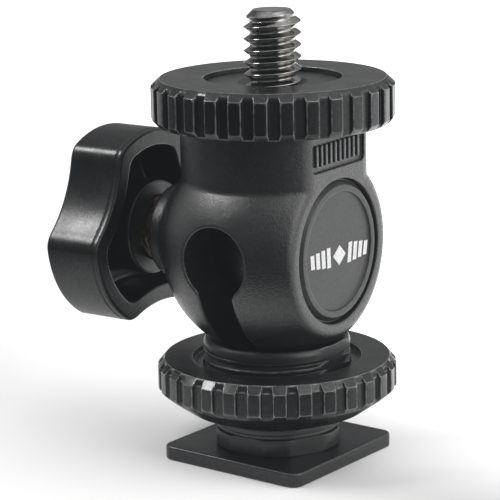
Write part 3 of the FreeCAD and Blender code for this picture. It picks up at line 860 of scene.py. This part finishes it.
# ---------------------------------------------------------------------------------------------
# Shoe foot
# ---------------------------------------------------------------------------------------------
def foot_field(x, y, z):
    """The shoe plate, the post, and the neck with its ridges and the cup on top."""
    from_axis = np.hypot(x, y)
    lap = (z - FOOT_CREST) / FOOT_PITCH - (np.arctan2(y, x) + math.pi / 2) / FULL_TURN
    wave = np.abs(lap - np.round(lap)) * 2                       # 0 at a crest, 1 at a root
    valley = FOOT_RIDGE * np.clip((wave - 0.25) / 0.5, 0, 1)
    valley = valley * np.clip((FOOT_THREAD_TOP - z) / 0.25, 0, 1)
    neck = smooth_max((from_axis - FOOT_NECK_RADIUS + valley) * 0.8, FOOT_NECK_LOW - z, 0.2)
    shoulder = (from_axis - FOOT_NECK_RADIUS + (z - FOOT_SHOULDER)) * 0.707
    neck = smooth_max(smooth_max(neck, shoulder, 0.3), z - FOOT_TOP, 0.15)
    neck = smooth_max(neck, np.abs(x) - FOOT_NECK_FLAT, 0.15)
    post = np.maximum(from_axis - POST_RADIUS, np.maximum(z - POST_HIGH, POST_LOW - z))
    solid = smooth_min(neck, post, 0.2)

    across = x * math.cos(PLATE_TURN) + y * math.sin(PLATE_TURN)
    along = y * math.cos(PLATE_TURN) - x * math.sin(PLATE_TURN)
    half, thick = PLATE_SIDE / 2, PLATE_THICKNESS / 2
    plate = smooth_max(round_box(across, along, half, half, PLATE_CORNER),
                       np.abs(z - thick) - thick, 0.3)
    solid = smooth_min(solid, plate, 0.3)

    up = z - BALL_Z
    solid = cut_out(solid, np.sqrt(x * x + y * y + up * up) - CUP_RADIUS, 0.15)
    recess = np.maximum(from_axis - FOOT_RECESS_RADIUS, z - FOOT_RECESS_TOP)
    solid = cut_out(solid, recess, 0.15)
    return cut_out(solid, from_axis - FOOT_SCREW_BORE, 0.1)


def make_foot():
    solid = surface("shoe_foot_body", foot_field, foot.low, foot.high, step=0.13)
    put(solid, "foot", "foot_plastic", "shoe_foot")


# ---------------------------------------------------------------------------------------------
# Clamp knob and its screw
# ---------------------------------------------------------------------------------------------
def lobes(u, v, radius, scallop):
    """Distance to the three-lobed outline."""
    shape = np.hypot(u, v) - radius
    for angle in SCALLOP_ANGLES:
        bite = np.hypot(u - SCALLOP_DISTANCE * math.cos(angle),
                        v - SCALLOP_DISTANCE * math.sin(angle)) - scallop
        shape = cut_out(shape, bite, LOBE_ROUND)
    return shape


def knob_field(x, y, z):
    """A lobed shell, open towards the housing, with a bored hub in the middle."""
    up, reach = z - BALL_Z, -x
    outline = lobes(y, up, KNOB_RADIUS, SCALLOP_RADIUS)
    from_seam = np.abs(reach - KNOB_NEAR - KNOB_SEAM)
    seam = KNOB_SEAM_DEPTH * np.clip(1 - from_seam / KNOB_SEAM_HALF, 0, 1)
    shell = smooth_max(smooth_max(outline + seam, KNOB_NEAR - reach, 0.35),
                       reach - KNOB_FAR, 0.5)
    inside = lobes(y, up, KNOB_RADIUS - KNOB_WALL, SCALLOP_RADIUS + KNOB_WALL)
    hollow = smooth_max(inside, reach - (KNOB_FAR - KNOB_END_WALL), 0.6)
    solid = cut_out(shell, hollow, 0.25)
    from_axis = np.hypot(y, up)
    hub = smooth_max(from_axis - KNOB_HUB_RADIUS, KNOB_HUB_NEAR - reach, 0.3)
    solid = smooth_min(solid, np.maximum(hub, reach - KNOB_FAR + 0.9), 0.4)
    bore = np.maximum(from_axis - KNOB_BORE_RADIUS, reach - KNOB_BORE_END)
    return cut_out(solid, bore, 0.15)


def make_knob():
    solid = surface("clamp_knob_body", knob_field, knob.low, knob.high, step=0.14)
    put(solid, "knob", "knob_plastic", "clamp_knob")


def make_knob_screw():
    screw = Extent("knob_screw")
    near, far = -screw.high[0], -screw.low[0]
    thread = threaded("knob_screw_thread", crest=3.0, root=2.45, pitch=1.0, low=near, high=far,
                      tip=2.6, tip_start=far - 0.4, turn=TO_KNOB)
    put(thread, "knob", "brass", "knob_screw")


# ---------------------------------------------------------------------------------------------
# Putting pieces on the frame
# ---------------------------------------------------------------------------------------------
def put(thing, body, slot, *nodes):
    """Give a piece its material, its body, and the CAD node that it stands for."""
    thing.data.materials.clear()
    thing.data.materials.append(MATERIALS[slot])
    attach(thing, body)
    if nodes:
        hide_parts(*nodes)


def finish_cad_nodes():
    """Materials for the plain CAD nodes that stay, mostly inside the head."""
    slots = {part["node"]: part["material_slot"] for part in frame["record"]["subparts"]}
    for name, thing in frame["nodes"].items():
        if not thing.hide_render:
            thing.data.materials.clear()
            thing.data.materials.append(MATERIALS[slots[name]])


MATERIALS = make_materials()
INK = make_ink()
make_housing()
make_panel_ribs()
make_cap()
make_cap_mark()
make_stud()
make_top_wheel()
make_top_bush()
make_lower_wheel()
make_clamp_nut()
make_washers()
make_foot()
make_knob()
make_knob_screw()
finish_cad_nodes()


# ---------------------------------------------------------------------------------------------
# Studio: floor, light and camera
# ---------------------------------------------------------------------------------------------
# Soft light from all round, as (azimuth, elevation, spread, level): azimuth 0 is the -Y side and
# 90 the +X side, in degrees.
SKY = [
    (0, 90, 38, 0.84),           # overhead
    (90, 52, 24, 1.70),          # main soft box, high beside the cap
    (82, 18, 17, 3.20),          # strip low beside the cap
    (120, 18, 22, 1.60),         # low behind the strip
    (155, 35, 30, 0.65),         # far end of the room
    (-140, 18, 30, 0.30),        # behind the knob
    (-80, 18, 22, 0.75),         # beside the knob
    (0, 30, 45, 0.28),           # weak fill from the front
]
# Painted light on the paper away from the object: a glow, brighter towards some sides, in place of the light
# falling there, in the same terms.
PAPER_PAINTED_GLOW = [(-150, 0, 55, 1.00), (150, 0, 60, 1.25), (-90, 0, 60, 0.15), (90, 0, 60, 0.20)]


def direction(azimuth, elevation):
    """The unit vector that points that way, in degrees."""
    turn, rise = math.radians(azimuth), math.radians(elevation)
    return Vector((math.sin(turn) * math.cos(rise), -math.cos(turn) * math.cos(rise),
                   math.sin(rise)))


def lobes_of_light(tree, vector, table):
    """The sum of soft lobes of light round the directions in a table, as a node socket."""
    total = None
    for azimuth, elevation, spread, level in table:
        near = tree.nodes.new("ShaderNodeVectorMath")
        near.operation = "DOT_PRODUCT"
        near.inputs[1].default_value = direction(azimuth, elevation)
        tree.links.new(vector, near.inputs[0])
        lobe = tree.nodes.new("ShaderNodeMapRange")
        lobe.interpolation_type = "SMOOTHSTEP"
        lobe.inputs["From Min"].default_value = math.cos(math.radians(1.4 * spread))
        lobe.inputs["From Max"].default_value = math.cos(math.radians(0.35 * spread))
        lobe.inputs["To Max"].default_value = level
        tree.links.new(near.outputs["Value"], lobe.inputs["Value"])
        if total is None:
            total = lobe.outputs["Result"]
            continue
        add = tree.nodes.new("ShaderNodeMath")
        tree.links.new(total, add.inputs[0])
        tree.links.new(lobe.outputs["Result"], add.inputs[1])
        total = add.outputs[0]
    return total


def make_world():
    world = bpy.data.worlds.new("studio")
    bpy.context.scene.world = world
    world.use_nodes = True
    tree = world.node_tree
    place = tree.nodes.new("ShaderNodeTexCoord")
    background = tree.nodes["Background"]
    background.inputs["Color"].default_value = (1, 1, 1, 1)
    tree.links.new(lobes_of_light(tree, place.outputs["Generated"], SKY),
                   background.inputs["Strength"])


# Middle of the paper that takes real light, set off towards the -X, -Y side, so that the painted glow takes the
# place of the key light's shadow on the +X, +Y side.
FLOOR_MIDDLE = (-15 * MM, -10 * MM, 0)
FLOOR_NEAR = 18 * MM             # nearer than this the paper takes light like any other thing
FLOOR_FAR = 66 * MM              # further away than this it only glows
FLOOR_SIZE = 3.0


def make_floor():
    """White paper that takes real light and shows the object's shadow near it; further out its colour fades to
    black and it carries a painted glow in place of light, brighter towards some sides.
    """
    shape = bmesh.new()
    bmesh.ops.create_grid(shape, x_segments=8, y_segments=8, size=FLOOR_SIZE)
    floor = shape_object("floor", shape)
    finish = Finish("white paper", grey(0.8), 1.0, Specular_IOR_Level=0.0)
    away = finish.node("ShaderNodeVectorMath", {0: finish.place, 1: FLOOR_MIDDLE},
                       operation="DISTANCE")
    fade = finish.node("ShaderNodeMapRange", {
        "Value": away.outputs["Value"], "From Min": FLOOR_NEAR, "From Max": FLOOR_FAR},
        interpolation_type="SMOOTHSTEP").outputs["Result"]
    heading = finish.node("ShaderNodeVectorMath", {0: finish.place}, operation="NORMALIZE")
    painted_glow = lobes_of_light(finish.tree, heading.outputs["Vector"], PAPER_PAINTED_GLOW)
    finish.shader.inputs["Emission Color"].default_value = (1, 1, 1, 1)
    floor.data.materials.append(finish.set(
        Base_Color=finish.blend(fade, grey(0.85), grey(0.0)),
        Emission_Strength=finish.total(painted_glow, finish.ramp(fade, 0.0, 1.0), "MULTIPLY")))


def area_light(name, azimuth, elevation, distance, width, height, radiance):
    """A soft box round the object."""
    light = bpy.data.lights.new(name, "AREA")
    light.shape = "RECTANGLE"
    light.size, light.size_y = width, height
    light.energy = math.pi * width * height * radiance
    lamp = bpy.data.objects.new(name, light)
    bpy.context.scene.collection.objects.link(lamp)
    away = direction(azimuth, elevation)
    lamp.location = Vector((0, 0, BALL_Z * MM)) + away * distance
    lamp.rotation_mode = "QUATERNION"
    lamp.rotation_quaternion = (-away).to_track_quat("-Z", "Y")


CAMERA_AZIMUTH = 33.8704         # where the camera stands, in degrees round from the -Y side
CAMERA_DISTANCE = 235.7656       # across the floor from the stem's axis, in millimetres
CAMERA_HEIGHT = 78.4652
CAMERA_HEADING = 34.5452         # which way it looks, in degrees round from the +Y side
CAMERA_PITCH = -13.2111
CAMERA_ROLL = -1.0634
CAMERA_LENS = 159.80


def make_camera():
    camera = bpy.data.objects.new("camera", bpy.data.cameras.new("camera"))
    bpy.context.scene.collection.objects.link(camera)
    camera.data.lens = CAMERA_LENS
    camera.data.sensor_width = 36.0
    camera.data.clip_start, camera.data.clip_end = 0.01, 20
    stand = math.radians(CAMERA_AZIMUTH)
    place = Vector((CAMERA_DISTANCE * math.sin(stand), -CAMERA_DISTANCE * math.cos(stand),
                    CAMERA_HEIGHT)) * MM
    heading, pitch, roll = map(math.radians, (CAMERA_HEADING, CAMERA_PITCH, CAMERA_ROLL))
    ahead = Vector((-math.sin(heading) * math.cos(pitch), math.cos(heading) * math.cos(pitch),
                    math.sin(pitch)))
    right = Vector((math.cos(heading), math.sin(heading), 0))
    above = right.cross(ahead)
    side = right * math.cos(roll) + above * math.sin(roll)
    top = above * math.cos(roll) - right * math.sin(roll)
    camera.matrix_world = Matrix.Translation(place) @ Matrix(
        (side, top, -ahead)).transposed().to_4x4()
    bpy.context.scene.camera = camera


BLACK_LIFT = (0.0085, 0.0100, 0.0110)           # how far the picture's black is above zero


def set_view():
    view = bpy.context.scene.view_settings
    view.view_transform = "Standard"
    view.use_curve_mapping = True
    view.curve_mapping.black_level = [-lift for lift in BLACK_LIFT]


make_floor()
make_world()
area_light("key", azimuth=-58, elevation=46, distance=0.55, width=0.20, height=0.11,
           radiance=23.0)
make_camera()
set_view()
